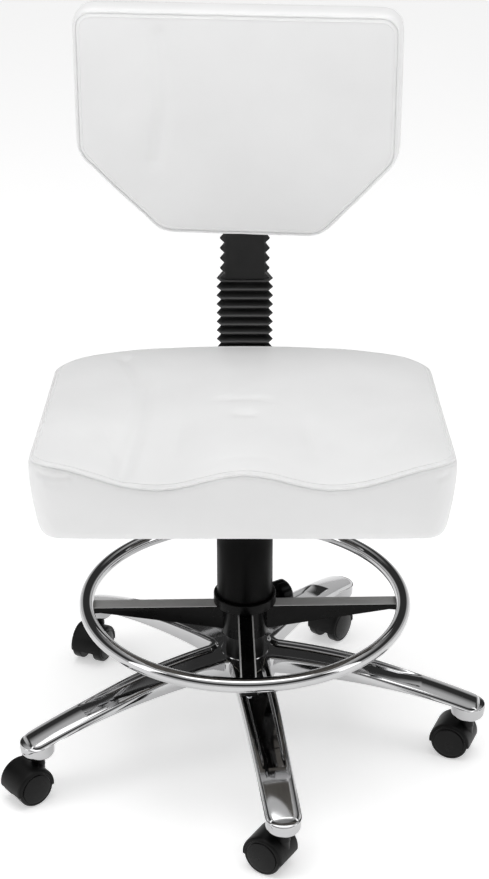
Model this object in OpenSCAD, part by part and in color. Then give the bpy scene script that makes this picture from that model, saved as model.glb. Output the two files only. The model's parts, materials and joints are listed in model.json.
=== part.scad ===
// Pedicure stool: five-armed base on twin-wheel casters, gas column with a
// foot ring, contoured seat and a height- and depth-adjustable backrest.
// Millimetres, +Z up, origin on the column axis at floor level, front at -Y.

/* [Star base] */
// Number of arms and casters
arm_count = 5; // [5:1:5]
// Turn of the first arm from the front, towards +X
base_turn = 9; // [0:1:35]
// Column axis to caster stem axis
arm_reach = 300; // [290:1:320]
// Width of an arm where it leaves the hub
arm_root_w = 50; // [44:1:52]
// Diameter of the rounded knuckle at an arm's tip
knuckle_d = 44; // [40:1:48]
// Underside of the knuckle above the floor
knuckle_z = 61; // [61:1:64]
// Top of the knuckle above the floor
knuckle_top_z = 90; // [88:1:94]
// Top of an arm where it meets the hub
arm_crown_z = 141; // [136:1:146]
// Side wall height of an arm at the hub
wall_root_h = 27; // [24:1:30]
// Side wall height of an arm at the tip
wall_tip_h = 9; // [8:1:12]
// Distance from the axis to the end of the pocket on top of an arm
pocket_end = 222; // [150:1:230]
// Depth of the pocket below the rails beside it
pocket_depth = 5; // [3:1:6]
// Width of the rail on each side of the pocket
rail_w = 5; // [4:0.5:7]
// Thickness of the cast skin
skin = 4; // [3:0.5:5]
// Outside diameter of the hub
hub_d = 84; // [80:1:90]
// Underside of the hub above the floor
hub_bottom_z = 100; // [98:1:104]
// Top of the hub above the floor
hub_top_z = 150; // [146:1:152]

/* [Casters] */
// Wheel diameter
wheel_d = 50; // [48:1:50]
// Horizontal distance from stem axis to axle
caster_trail = 18; // [16:1:20]
// Width of the hood
hood_w = 45; // [42:1:48]
// Gap between wheel tread and hood
hood_gap = 1; // [0.8:0.1:1.5]
// Hood wall thickness
hood_wall = 1.6; // [1.4:0.1:2]
// Stem diameter
stem_d = 11; // [11:0.5:11]
// Resting direction of each caster's axle from its stem, seen from above
caster_heads = [149, 158, 235, 248, 219];

/* [Gas column] */
// Outside diameter of the column tube
column_d = 50; // [50:1:50]
// Bottom of the column tube above the floor
column_z = 92; // [90:1:94]
// Top of the column tube above the floor
column_top_z = 325; // [320:1:330]
// Outside diameter of the pressure tube
pressure_d = 28; // [28:1:28]
// Piston rod diameter
rod_d = 10; // [10:1:10]
// Outside diameter of the lower cover sleeve
cover_d = 73; // [72:1:74]
// Top of the lower cover sleeve above the floor
cover_top_z = 350; // [345:1:352]

/* [Foot ring] */
// Diameter across the outside of the ring
ring_d = 436; // [410:1:450]
// Ring tube diameter
ring_tube_d = 19; // [18:0.5:20]
// Height of the ring's centre line above the floor
ring_z = 212; // [212:1:212]
// Turn of the spokes from the front, towards +X
spoke_turn = 1.5; // [0:0.5:5]
// Width of a spoke
spoke_w = 20; // [16:1:22]
// Direction of the clamp knob, seen from above
ring_knob_head = 35; // [32:1:50]

/* [Seat] */
// Width of the seat cushion
seat_w = 504; // [480:1:520]
// Front edge of the seat cushion
seat_front_y = -208; // [-220:1:-200]
// Rear edge of the seat cushion
seat_back_y = 215; // [205:1:220]
// Underside of the seat above the floor
seat_z = 410; // [410:1:410]
// Height of the front corners above the floor
seat_corner_z = 520; // [510:1:530]
// Height of the thigh troughs above the floor
seat_trough_z = 482; // [475:1:488]
// Height of the ridge between the troughs above the floor
seat_ridge_z = 504; // [496:1:508]
// Distance from the centre line to a trough
seat_trough_x = 103; // [95:1:110]
// Thickness of the seat board
seat_board_t = 12; // [10:1:14]
// Inset of the seat board from the cushion's edge
seat_board_inset = 24; // [20:1:30]

/* [Backrest] */
// Distance of the upright bar behind the column axis
bar_y = 262; // [258:1:266]
// Width of the back bar
bar_w = 50; // [50:1:50]
// Thickness of the back bar
bar_t = 8; // [8:1:8]
// Top of the back bar above the floor
bar_top_z = 800; // [790:1:810]
// Widest part of the back cushion
back_w = 412; // [400:1:440]
// Width of the back cushion along its bottom edge
back_bottom_w = 212; // [200:1:230]
// Bottom of the back cushion above the floor
back_z = 646; // [640:1:652]
// Top of the back cushion above the floor
back_top_z = 948; // [930:1:960]
// Height of the straight sides' lower ends above the floor
back_hip_z = 752; // [740:1:770]
// Thickness of the back cushion with its board
back_t = 64; // [60:1:70]
// Turn of the backrest on its bar, right side forwards
back_turn = 5; // [0:1:6]
// Number of folds in the lower boot
boot_folds = 11; // [10:1:12]

/* [Hidden] */
$fn = 64;
small_fn = 32;
cut = 1;

// Base
arm_step = 360 / arm_count;
arm_droop = (arm_crown_z - knuckle_top_z) / (arm_reach * arm_reach);
knuckle_r = knuckle_d / 2;
socket_r = 7;
hub_neck_r = 33;
socket_top_z = 84;
profile_steps = 16;

// Casters
wheel_r = wheel_d / 2;
axle_r = 4;
axle_l = 42;
axle_fit = 0.05;
web_t = 8;
wheel_in = 9.5;
wheel_out = 22.5;
wheel_cap = 23.5;
hood_in_r = wheel_r + hood_gap;
hood_r = hood_in_r + hood_wall;
hood_start = -6;
hood_sweep = 192;
boss_r = 8.5;
boss_top_z = 60;
flare_z = 46;
stem_low_z = 34;
stem_top_z = 82.5;

// Column
column_r = column_d / 2;
column_in_r = 22.5;
bushing_z = 235;
bumper_z = 104;
bumper_top_z = 128;
pressure_z = 130;
pressure_top_z = 388;
pressure_in_r = 12;
gland_t = 12;
valve_z = 340;
piston_z = 290;
piston_t = 10;
pin_r = 3;
pin_low_z = 345;
pin_top_z = 393.8;
slide_fit = 0.05;
lower_cover_z = 213.2;
upper_cover_z = 230;
upper_cover_top_z = 364;
upper_cover_r = 33.5;
cover_wall = 2;

// Foot ring
ring_r = ring_d / 2 - ring_tube_d / 2;
tube_r = ring_tube_d / 2;
tube_wall = 1.5;
spider_r = 30.5;
spider_z = 165;
spider_bore_r = 27;
collar_r = 41;
collar_z = 210;
collar_top_z = 224;
cup_z = 213;
spoke_top_z = 207;
spoke_root_z = 173;
spoke_count = 4;
ring_knob_z = 200;
knob_r = 19;
knob_t = 16;
stud_r = 5;
knob_lobes = 8;

// Mechanism
plate_t = 3;
housing_x = 62;
housing_front_y = -75;
housing_back_y = 130;
housing_z = 366;
housing_top_z = seat_z - plate_t;
flange_x = 92;
floor_t = 4;
socket_z = 350;
socket_top = 390;
socket_out_r = 20;
bolt_r = 3;
bolt_x = 78;
bolt_ys = [-55, 105];
lever_z = 398.3;
lever_t = 8;
lever_pivot_x = 50;
lever_end_x = 205;
lever_drop = 14;
pivot_r = 2.5;
bar_z = 378;
bar_front_y = 48;
bar_bend_r = 40;
bar_gap = 0.3;
depth_knob_y = 112;
depth_knob_z = 335;

// Backrest
boot_w = 77;
boot_d = 46;
boot_z = 426;
boot_pitch = 12.8;
boot_fold = 5.5;
upper_boot_z = 568.5;
upper_boot_top_z = 640;
upper_boot_w = 67;
upper_boot_d = 40;
bracket_z = 642;
bracket_top_z = 790;
flange_y = 250;
back_board_t = 10;
back_board_inset = 14;
back_screw_x = 42;
back_screw_zs = [700, 770];
height_knob_z = 664;
height_knob_y = 293;

function arc(cx, cy, r, a0, a1, n) =
    [for (i = [0:n]) let (a = a0 + (a1 - a0) * i / n) [cx + r * cos(a), cy + r * sin(a)]];

function arm_top(r) = arm_crown_z - arm_droop * r * r;
function arm_wall(r) = wall_root_h - (wall_root_h - wall_tip_h) * r / arm_reach;

// Closed strip between two heights measured down from an arm's top line
function arm_strip(r0, r1, high, low) = concat(
    [for (i = [0:profile_steps]) let (r = r0 + (r1 - r0) * i / profile_steps) [r, arm_top(r) - high]],
    [for (i = [profile_steps:-1:0]) let (r = r0 + (r1 - r0) * i / profile_steps) [r, arm_top(r) - low(r)]]);

// Extrudes an outline drawn in (x, z) across Y
module across(width) {
    rotate([90, 0, 0]) linear_extrude(width, center = true) children();
}

module tube(r_out, r_in, z0, z1) {
    translate([0, 0, z0]) difference() {
        cylinder(r = r_out, h = z1 - z0);
        translate([0, 0, -cut]) cylinder(r = r_in, h = z1 - z0 + 2 * cut);
    }
}

// ---- Star base ----

module arm_plan() {
    polygon([[0, -arm_root_w / 2], [arm_reach, -knuckle_r], [arm_reach, knuckle_r], [0, arm_root_w / 2]]);
}

module arm_solid() {
    intersection() {
        across(arm_root_w + 2 * cut) polygon(arm_strip(0, arm_reach, 0, function (r) arm_wall(r)));
        linear_extrude(hub_top_z) arm_plan();
    }
}

module arm_pocket() {
    pocket_half = arm_root_w / 2 - rail_w;
    pocket_start = hub_neck_r;
    intersection() {
        across(arm_root_w) polygon(arm_strip(pocket_start, pocket_end, -cut, function (r) pocket_depth));
        linear_extrude(2 * hub_top_z) union() {
            translate([pocket_start, -pocket_half + 1.5])
                square([pocket_end - pocket_start - pocket_half, 2 * pocket_half - 3]);
            translate([pocket_end - pocket_half, 0]) circle(r = pocket_half - 1.5);
        }
    }
}

module arm_underside() {
    hollow_start = 52;
    hollow_end = arm_reach - knuckle_r - 6;
    hollow_w = knuckle_d - 2 * skin;
    across(hollow_w)
        polygon(arm_strip(hollow_start, hollow_end, pocket_depth + skin, function (r) arm_wall(r) + cut));
}

module knuckle() {
    crown = 8;
    foot = 3;
    translate([arm_reach, 0, 0]) rotate_extrude() polygon(concat(
        [[0, knuckle_z]],
        arc(knuckle_r - foot, knuckle_z + foot, foot, -90, 0, 6),
        arc(knuckle_r - crown, knuckle_top_z - crown, crown, 0, 90, 10),
        [[0, knuckle_top_z]]));
}

module base_star() {
    bevel = 3;
    hub_r = hub_d / 2;
    color("silver") difference() {
        union() {
            rotate_extrude() polygon([[0, hub_bottom_z], [hub_r - bevel, hub_bottom_z],
                [hub_r, hub_bottom_z + bevel], [hub_r, arm_crown_z - pocket_depth - skin],
                [hub_neck_r, arm_crown_z - pocket_depth], [hub_neck_r, hub_top_z - bevel],
                [hub_neck_r - bevel, hub_top_z], [0, hub_top_z]]);
            for (i = [0:arm_count - 1]) rotate([0, 0, base_turn - 90 + arm_step * i]) {
                difference() {
                    arm_solid();
                    arm_pocket();
                    arm_underside();
                }
                knuckle();
            }
        }
        translate([0, 0, hub_bottom_z - cut]) cylinder(r = column_r, h = hub_top_z - hub_bottom_z + 2 * cut);
        for (i = [0:arm_count - 1]) rotate([0, 0, base_turn - 90 + arm_step * i])
            translate([arm_reach, 0, knuckle_z - cut]) cylinder(r = socket_r, h = socket_top_z - knuckle_z + cut);
    }
}

module caster_sockets() {
    color("dimgray") for (i = [0:arm_count - 1]) rotate([0, 0, base_turn - 90 + arm_step * i])
        translate([arm_reach, 0, 0])
            tube(socket_r, stem_d / 2 + slide_fit, knuckle_z, socket_top_z);
}

// ---- Casters: each is drawn with its stem on the Z axis and its axle towards +X ----

module at_caster(i) {
    rotate([0, 0, base_turn - 90 + arm_step * i]) translate([arm_reach, 0, 0])
        rotate([0, 0, caster_heads[i] - (base_turn - 90 + arm_step * i)]) children();
}

module on_axle() {
    translate([caster_trail, 0, wheel_r]) rotate([90, 0, 0]) children();
}

module caster_housing(i) {
    edge = 3;
    half = hood_w / 2;
    color("black") at_caster(i) difference() {
        union() {
            on_axle() rotate([0, 0, hood_start]) rotate_extrude(angle = hood_sweep) polygon(concat(
                [[hood_in_r, -half]],
                arc(hood_r - edge, -half + edge, edge, -60, 0, 4),
                arc(hood_r - edge, half - edge, edge, 0, 60, 4),
                [[hood_in_r, half]]));
            on_axle() rotate([0, 0, hood_start]) rotate_extrude(angle = hood_sweep)
                translate([0, -web_t / 2]) square([hood_in_r + hood_wall / 2, web_t]);
            on_axle() cylinder(r = 9, h = web_t, center = true);
            translate([0, 0, stem_low_z - 4]) cylinder(r = boss_r, h = boss_top_z - stem_low_z + 4);
            translate([0, 0, flare_z]) cylinder(r1 = wheel_in - 0.4, r2 = boss_r, h = 8);
        }
        translate([0, 0, stem_low_z]) cylinder(r = stem_d / 2, h = boss_top_z);
        on_axle() cylinder(r = axle_r, h = 2 * hood_w, center = true);
    }
}

module caster_stem(i) {
    tip = 1.5;
    shoulder_t = 0.8;
    color("silver") at_caster(i) {
        translate([0, 0, stem_low_z]) cylinder(r = stem_d / 2, h = stem_top_z - tip - stem_low_z);
        translate([0, 0, stem_top_z - tip]) cylinder(r1 = stem_d / 2, r2 = stem_d / 2 - tip, h = tip);
        translate([0, 0, boss_top_z]) cylinder(r = boss_r - 0.5, h = shoulder_t);
    }
}

module caster_axle(i) {
    color("silver") at_caster(i) on_axle() cylinder(r = axle_r, h = axle_l, center = true);
}

// One wheel of a pair: a tread with rounded shoulders and a shallow domed cap
module caster_wheel(i, side) {
    shoulder = 2.5;
    hub_r = 8;
    bore_end = axle_l / 2 + 0.3;
    color([0.08, 0.08, 0.08]) at_caster(i) on_axle() rotate([side > 0 ? 0 : 180, 0, 0])
        rotate_extrude() polygon(concat(
            [[axle_r + axle_fit, web_t / 2 + 0.3], [hub_r, web_t / 2 + 0.3], [hub_r, wheel_in]],
            arc(wheel_r - 1, wheel_in + 1, 1, -90, 0, 3),
            arc(wheel_r - shoulder, wheel_out - shoulder, shoulder, 0, 90, 5),
            [[wheel_r - 4, wheel_out - 0.4], [wheel_r - 5, wheel_out], [wheel_r / 2, wheel_cap - 0.3],
             [0, wheel_cap], [0, bore_end], [axle_r + axle_fit, bore_end]]));
}

// ---- Gas column ----

module column_tube() {
    end_t = 4;
    color("black") {
        tube(column_r, column_in_r, column_z, column_top_z);
        tube(column_in_r, rod_d / 2 + slide_fit, column_z, column_z + end_t);
    }
}

module column_bushing() {
    color("ivory") tube(column_in_r, pressure_d / 2 + slide_fit, bushing_z, column_top_z);
}

module thrust_bearing() {
    color("silver") tube(13, rod_d / 2 + bar_gap, column_z + 4, bumper_z);
}

module stop_bumper() {
    color("dimgray") tube(12, rod_d / 2 + 0.5, bumper_z, bumper_top_z);
}

module piston_rod() {
    color("silver") {
        translate([0, 0, column_z - 4]) cylinder(r = rod_d / 2, h = piston_z - column_z + 4);
        translate([0, 0, piston_z]) cylinder(r = pressure_in_r - slide_fit, h = piston_t);
    }
}

module rod_clip() {
    color("gray") tube(10, rod_d / 2, column_z - 3, column_z - bar_gap);
}

module pressure_tube() {
    color("silver") difference() {
        translate([0, 0, pressure_z]) cylinder(r = pressure_d / 2, h = pressure_top_z - pressure_z);
        translate([0, 0, pressure_z + gland_t])
            cylinder(r = pressure_in_r, h = valve_z - pressure_z - gland_t);
        translate([0, 0, pressure_z - cut]) cylinder(r = rod_d / 2 + slide_fit, h = gland_t + 2 * cut);
        translate([0, 0, valve_z - cut]) cylinder(r = pin_r + slide_fit, h = pressure_top_z - valve_z + 2 * cut);
    }
}

module release_pin() {
    color("gray") translate([0, 0, pin_low_z]) cylinder(r = pin_r, h = pin_top_z - pin_low_z);
}

module lower_cover() {
    color("black") tube(cover_d / 2, cover_d / 2 - cover_wall + 0.1, lower_cover_z, cover_top_z);
}

module upper_cover() {
    color("black") {
        tube(upper_cover_r, upper_cover_r - cover_wall, upper_cover_z, upper_cover_top_z);
        tube(upper_cover_r - cover_wall, socket_out_r, upper_cover_top_z - 3, upper_cover_top_z);
    }
}

// ---- Foot ring ----

module at_spokes() {
    for (i = [0:spoke_count - 1]) rotate([0, 0, spoke_turn - 90 + i * 90]) children();
}

module at_ring_knob() {
    translate([0, 0, ring_knob_z]) rotate([0, 0, ring_knob_head]) rotate([0, 90, 0]) children();
}

module spoke() {
    across(spoke_w) polygon([[spider_r - 3, spoke_root_z], [ring_r - 18, spoke_top_z - 8],
        [ring_r - 4, ring_z - tube_r - 5], [ring_r + 2, ring_z - tube_r - 5],
        [ring_r + 3, ring_z - tube_r + 3], [ring_r - 4, spoke_top_z], [spider_r - 3, spoke_top_z]]);
}

module ring_spider() {
    boss = 9;
    boss_end = 38;
    color([0.1, 0.1, 0.1]) difference() {
        union() {
            rotate_extrude() polygon([[0, spider_z], [spider_r - 1, spider_z], [spider_r, spider_z + 1],
                [spider_r, collar_z - 4], [collar_r - 1, collar_z], [collar_r, collar_z + 1],
                [collar_r, collar_top_z - 1], [collar_r - 1, collar_top_z], [0, collar_top_z]]);
            at_spokes() spoke();
            at_ring_knob() cylinder(r = boss, h = boss_end);
        }
        translate([0, 0, spider_z - cut]) cylinder(r = spider_bore_r, h = collar_top_z);
        translate([0, 0, cup_z]) cylinder(r = cover_d / 2 + 0.1, h = collar_top_z);
        translate([0, 0, ring_z]) rotate_extrude() translate([ring_r, 0]) circle(r = tube_r);
        at_ring_knob() cylinder(r = stud_r + slide_fit, h = 2 * boss_end);
        at_spokes() translate([ring_r, 0, spider_z]) cylinder(r = 2, h = ring_z - spider_z);
    }
}

module ring_liner() {
    color("ivory") difference() {
        tube(spider_bore_r, column_r + slide_fit, spider_z, cup_z);
        at_ring_knob() cylinder(r = stud_r + bar_gap, h = 2 * spider_bore_r);
    }
}

module foot_ring() {
    color("silver") difference() {
        translate([0, 0, ring_z]) rotate_extrude() translate([ring_r, 0]) difference() {
            circle(r = tube_r);
            circle(r = tube_r - tube_wall);
        }
        at_spokes() translate([ring_r, 0, ring_z - 2 * tube_r]) cylinder(r = 2, h = 2 * tube_r);
    }
}

module ring_screws() {
    lip_z = ring_z - tube_r - 5;
    color("silver") at_spokes() translate([ring_r, 0, 0]) {
        translate([0, 0, lip_z]) cylinder(r = 2, h = tube_r);
        translate([0, 0, lip_z - 2.5]) cylinder(r1 = 3, r2 = 4, h = 2.5);
    }
}

// Clamp knob with its threaded stud moulded in: stud from 0, grip from reach onwards
module clamp_knob(reach) {
    flute_r = 4.6;
    dome = 3;
    cylinder(r = stud_r, h = reach + 2);
    translate([0, 0, reach]) difference() {
        union() {
            cylinder(r = knob_r, h = knob_t - dome);
            translate([0, 0, knob_t - dome]) cylinder(r1 = knob_r, r2 = knob_r - dome, h = dome);
        }
        for (i = [0:knob_lobes - 1]) rotate([0, 0, i * 360 / knob_lobes])
            translate([knob_r + 2.6, 0, -cut]) cylinder(r = flute_r, h = knob_t + 2 * cut);
    }
    translate([0, 0, reach - 6]) cylinder(r = 8.5, h = 6);
}

module ring_knob() {
    stud_tip = column_r + bar_gap;
    color([0.08, 0.08, 0.08]) at_ring_knob() translate([0, 0, stud_tip]) clamp_knob(52 - stud_tip);
}

// ---- Seat mechanism ----

module at_bolts() {
    for (x = [-bolt_x, bolt_x], y = bolt_ys) translate([x, y, 0]) children();
}

module box_between(p, q) {
    translate(p) cube(q - p);
}

module seat_mechanism() {
    inner_x = housing_x - plate_t;
    slot_x = bar_w / 2 + bar_gap;
    bulkhead_y = 90;
    strap_y = 95;
    pan_back_y = 40;
    lug_in = lever_t / 2 + 0.8;
    color("dimgray") difference() {
        union() {
            box_between([-flange_x, housing_front_y, housing_top_z], [flange_x, housing_back_y, seat_z]);
            difference() {
                box_between([-housing_x, housing_front_y, housing_z], [housing_x, housing_back_y, housing_top_z]);
                box_between([-inner_x, housing_front_y + plate_t, housing_z - cut],
                            [inner_x, housing_back_y - plate_t, housing_top_z]);
            }
            box_between([-inner_x, bulkhead_y, housing_z], [inner_x, bulkhead_y + plate_t, housing_top_z]);
            box_between([-inner_x, strap_y - 2, housing_z], [inner_x, housing_back_y - plate_t, housing_z + floor_t]);
            box_between([-inner_x, housing_front_y + plate_t, housing_z], [inner_x, pan_back_y, housing_z + floor_t]);
            for (y = [-lug_in - plate_t, lug_in])
                box_between([lever_pivot_x - 8, y, lever_z - 8], [inner_x, y + plate_t, housing_top_z]);
        }
        at_bolts() translate([0, 0, housing_top_z - cut]) cylinder(r = bolt_r + 0.2, h = 10);
        translate([0, 0, housing_z - cut]) cylinder(r = socket_out_r, h = floor_t + 2 * cut);
        box_between([-slot_x, bulkhead_y - cut, bar_z - bar_t / 2 - bar_gap],
                    [slot_x, housing_back_y + cut, bar_z + bar_t / 2 + bar_gap]);
        box_between([inner_x - cut, -lug_in, lever_z - 12], [housing_x + cut, lug_in, housing_top_z]);
        translate([0, depth_knob_y, housing_z - cut]) cylinder(r = stud_r + slide_fit, h = floor_t + 2 * cut);
        translate([lever_pivot_x, 0, lever_z]) rotate([90, 0, 0])
            cylinder(r = pivot_r, h = 40, center = true);
    }
}

module gas_socket() {
    color("gray") tube(socket_out_r, pressure_d / 2, socket_z, socket_top);
}

module height_lever() {
    half = lever_t / 2;
    knee = 72;
    step = 24;
    color("silver") difference() {
        across(lever_t) union() {
            polygon([[-5, lever_z - half], [knee, lever_z - half], [knee + step, lever_z - half - lever_drop],
                [lever_end_x, lever_z - half - lever_drop], [lever_end_x, lever_z + half - lever_drop],
                [knee + step + 2, lever_z + half - lever_drop], [knee + 2, lever_z + half], [-5, lever_z + half]]);
            translate([lever_pivot_x, lever_z]) circle(r = 6.5, $fn = small_fn);
        }
        translate([lever_pivot_x, 0, lever_z]) rotate([90, 0, 0])
            cylinder(r = pivot_r + slide_fit, h = 40, center = true);
    }
}

module lever_pivot_pin() {
    color("silver") translate([lever_pivot_x, 0, lever_z]) rotate([90, 0, 0])
        cylinder(r = pivot_r, h = 18, center = true);
}

module lever_paddle() {
    grip_x = 178;
    grip_end = 242;
    grip_w = 26;
    grip_t = 13;
    grip_z = lever_z - lever_drop;
    color("black") difference() {
        translate([0, 0, grip_z - grip_t / 2]) linear_extrude(grip_t) union() {
            translate([grip_x, -grip_w / 2 + 5]) square([20, grip_w - 10]);
            translate([grip_x + 14, -grip_w / 2]) square([grip_end - grip_x - 14 - grip_w / 2, grip_w]);
            translate([grip_end - grip_w / 2, 0]) circle(r = grip_w / 2);
        }
        box_between([grip_x - cut, -lever_t / 2, grip_z - lever_t / 2],
                    [lever_end_x, lever_t / 2, grip_z + lever_t / 2]);
    }
}

module seat_bolts() {
    head_t = 4;
    color("silver") at_bolts() {
        translate([0, 0, housing_top_z]) cylinder(r = bolt_r, h = 12);
        translate([0, 0, housing_top_z - head_t]) cylinder(r = 5, h = head_t, $fn = 6);
    }
}

module seat_tee_nuts() {
    color("silver") at_bolts() {
        tube(5, bolt_r, seat_z, seat_z + seat_board_t - 1.5);
        tube(10, bolt_r, seat_z + seat_board_t - 1.5, seat_z + seat_board_t);
    }
}

// ---- Seat ----

// Plan outline of the seat, drawn in by a margin: wider radii at the back
module seat_plan(inset) {
    half = seat_w / 2 - inset;
    front = seat_front_y + inset;
    back = seat_back_y - inset;
    front_r = 44;
    back_r = 74;
    steps = 10;
    polygon(concat(
        arc(half - front_r, front + front_r, front_r, -90, 0, steps),
        arc(half - back_r, back - back_r, back_r, 0, 90, steps),
        arc(-half + back_r, back - back_r, back_r, 90, 180, steps),
        arc(-half + front_r, front + front_r, front_r, 180, 270, steps)));
}

function seat_wave(x) = let (a = abs(x), edge = seat_w / 2)
    a < seat_trough_x
        ? seat_trough_z + (seat_ridge_z - seat_trough_z) * (1 + cos(180 * a / seat_trough_x)) / 2
        : seat_trough_z + (seat_corner_z - seat_trough_z)
            * (1 - cos(180 * (a - seat_trough_x) / (edge - seat_trough_x))) / 2;

module seat_cushion() {
    wave_steps = 32;
    half = seat_w / 2;
    color("white") difference() {
        intersection() {
            translate([0, 0, seat_z]) linear_extrude(seat_corner_z) seat_plan(0);
            translate([0, (seat_front_y + seat_back_y) / 2, 0])
                across(seat_back_y - seat_front_y + 2) polygon(concat([[half, seat_z], [-half, seat_z]],
                    [for (i = [0:wave_steps]) let (x = -half + 2 * half * i / wave_steps) [x, seat_wave(x)]]));
            rotate([90, 0, 90]) linear_extrude(seat_w + 2, center = true) polygon([
                [seat_front_y + 14, seat_z], [seat_back_y - 12, seat_z], [seat_back_y, seat_z + 22],
                [seat_back_y - 2, seat_z + 66], [seat_back_y - 22, seat_ridge_z - 10],
                [60, seat_ridge_z], [seat_front_y + 40, seat_corner_z],
                [seat_front_y + 12, seat_corner_z], [seat_front_y, seat_corner_z - 24],
                [seat_front_y, seat_z + 20]]);
        }
        translate([0, 0, seat_z - cut]) linear_extrude(seat_board_t + cut) seat_plan(seat_board_inset);
    }
}

module seat_board() {
    color("burlywood") difference() {
        translate([0, 0, seat_z]) linear_extrude(seat_board_t) seat_plan(seat_board_inset);
        at_bolts() translate([0, 0, seat_z - cut]) cylinder(r = 5, h = seat_board_t + 2 * cut);
        at_bolts() translate([0, 0, seat_z + seat_board_t - 1.5]) cylinder(r = 10, h = seat_board_t);
    }
}

// ---- Back bar and boots ----

module back_bar() {
    inner = bar_bend_r - bar_t / 2;
    outer = bar_bend_r + bar_t / 2;
    bend_y = bar_y - bar_bend_r;
    bend_z = bar_z + bar_bend_r;
    steps = 12;
    color([0.1, 0.1, 0.1]) rotate([90, 0, 90]) linear_extrude(bar_w, center = true) polygon(concat(
        [[bar_front_y, bar_z - bar_t / 2]],
        arc(bend_y, bend_z, outer, -90, 0, steps),
        [[bar_y + bar_t / 2, bar_top_z], [bar_y - bar_t / 2, bar_top_z]],
        arc(bend_y, bend_z, inner, 0, -90, steps),
        [[bar_front_y, bar_z + bar_t / 2]]));
}

module depth_knob() {
    tip_z = bar_z - bar_t / 2 - bar_gap;
    color([0.08, 0.08, 0.08]) translate([0, depth_knob_y, tip_z]) rotate([180, 0, 0])
        clamp_knob(tip_z - depth_knob_z - knob_t);
}

// Outline with sawtooth sides, for a ribbed boot: half width, start, pitch, folds, fold depth
function ribbed(half, z0, pitch, folds, depth) = concat(
    [[half - depth, z0]],
    [for (i = [0:folds - 1]) each [[half, z0 + pitch * (i + 0.5)], [half - depth, z0 + pitch * (i + 1)]]],
    [for (i = [folds - 1:-1:0]) each [[-half + depth, z0 + pitch * (i + 1)], [-half, z0 + pitch * (i + 0.5)]]],
    [[-half + depth, z0]]);

module lower_boot() {
    h = boot_pitch * boot_folds;
    neck = 6;
    color([0.12, 0.12, 0.12]) translate([0, bar_y, 0]) difference() {
        intersection() {
            across(boot_d) polygon(ribbed(boot_w / 2, boot_z, boot_pitch, boot_folds, boot_fold));
            rotate([90, 0, 90]) linear_extrude(boot_w, center = true)
                polygon(ribbed(boot_d / 2, boot_z, boot_pitch, boot_folds, boot_fold));
        }
        box_between([-bar_w / 2 - bar_gap, -bar_t / 2 - bar_gap, boot_z - cut],
                    [bar_w / 2 + bar_gap, bar_t / 2 + bar_gap, boot_z + h + cut]);
        box_between([-bar_w / 2 - 4, -bar_t / 2 - 6, boot_z + neck],
                    [bar_w / 2 + 4, bar_t / 2 + 6, boot_z + h + cut]);
    }
}

module upper_boot() {
    folds = 5;
    rib = 3;
    h = upper_boot_top_z - upper_boot_z;
    color([0.16, 0.16, 0.16]) translate([0, bar_y, 0]) difference() {
        across(upper_boot_d)
            polygon(ribbed(upper_boot_w / 2, upper_boot_z, h / folds, folds, rib));
        box_between([-bar_w / 2 - 2, -bar_t / 2 - 3, upper_boot_z - cut],
                    [bar_w / 2 + 2, bar_t / 2 + 3, upper_boot_top_z + cut]);
    }
}

// ---- Backrest ----

module back_turned() {
    translate([0, flange_y, 0]) rotate([0, 0, -back_turn]) translate([0, -flange_y, 0]) children();
}

// Front outline of the backrest in (x, z): straight sides, cut lower corners
module back_outline(inset) {
    half = back_w / 2 - inset;
    foot = back_bottom_w / 2 - inset / 3;
    top = back_top_z - inset;
    low = back_z + inset;
    top_r = 26;
    low_r = 22;
    offset(r = low_r) offset(delta = -low_r)
        polygon([[-foot, low], [foot, low], [half, back_hip_z], [half, top - top_r / 2],
            [half - top_r / 2, top], [-half + top_r / 2, top], [-half, top - top_r / 2], [-half, back_hip_z]]);
}

module back_slab(inset, y0, y1) {
    translate([0, y1, 0]) rotate([90, 0, 0]) linear_extrude(y1 - y0) back_outline(inset);
}

module back_cushion() {
    color("white") back_turned() difference() {
        back_slab(0, flange_y - back_t, flange_y);
        back_slab(back_board_inset, flange_y - back_board_t, flange_y + cut);
    }
}

module at_back_screws() {
    back_turned() for (x = [-back_screw_x, back_screw_x], z = back_screw_zs)
        translate([x, flange_y, z]) rotate([90, 0, 0]) children();
}

module back_board() {
    color("burlywood") difference() {
        back_turned() back_slab(back_board_inset, flange_y - back_board_t, flange_y);
        at_back_screws() cylinder(r = bolt_r, h = 3 * back_board_t, center = true);
    }
}

module back_screws() {
    head_t = 3;
    color("silver") at_back_screws() {
        translate([0, 0, -plate_t]) cylinder(r = bolt_r, h = plate_t + back_board_t - 1);
        translate([0, 0, -plate_t - head_t]) cylinder(r1 = 4, r2 = 5.5, h = head_t);
    }
}

module back_bracket() {
    sleeve_x = 30;
    sleeve_y = 270;
    flange_half = 54;
    boss_y = 278;
    color([0.1, 0.1, 0.1]) difference() {
        union() {
            difference() {
                box_between([-sleeve_x, flange_y + 0.5, bracket_z], [sleeve_x, sleeve_y, bracket_top_z]);
                back_turned() box_between([-2 * sleeve_x, flange_y - 20, bracket_z - cut],
                                          [2 * sleeve_x, flange_y, bracket_top_z + cut]);
            }
            back_turned() box_between([-flange_half, flange_y, back_screw_zs[0] - 14],
                                      [flange_half, flange_y + plate_t, back_screw_zs[1] + 14]);
            translate([0, sleeve_y - cut, height_knob_z]) rotate([-90, 0, 0])
                cylinder(r = 10, h = boss_y - sleeve_y + cut);
        }
        box_between([-bar_w / 2 - 0.1, bar_y - bar_t / 2 - 0.1, bracket_z - cut],
                    [bar_w / 2 + 0.1, bar_y + bar_t / 2 + 0.1, bracket_top_z + cut]);
        translate([0, bar_y, height_knob_z]) rotate([-90, 0, 0]) cylinder(r = stud_r + slide_fit, h = 40);
        at_back_screws() cylinder(r = bolt_r + 0.2, h = 3 * plate_t, center = true);
    }
}

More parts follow.
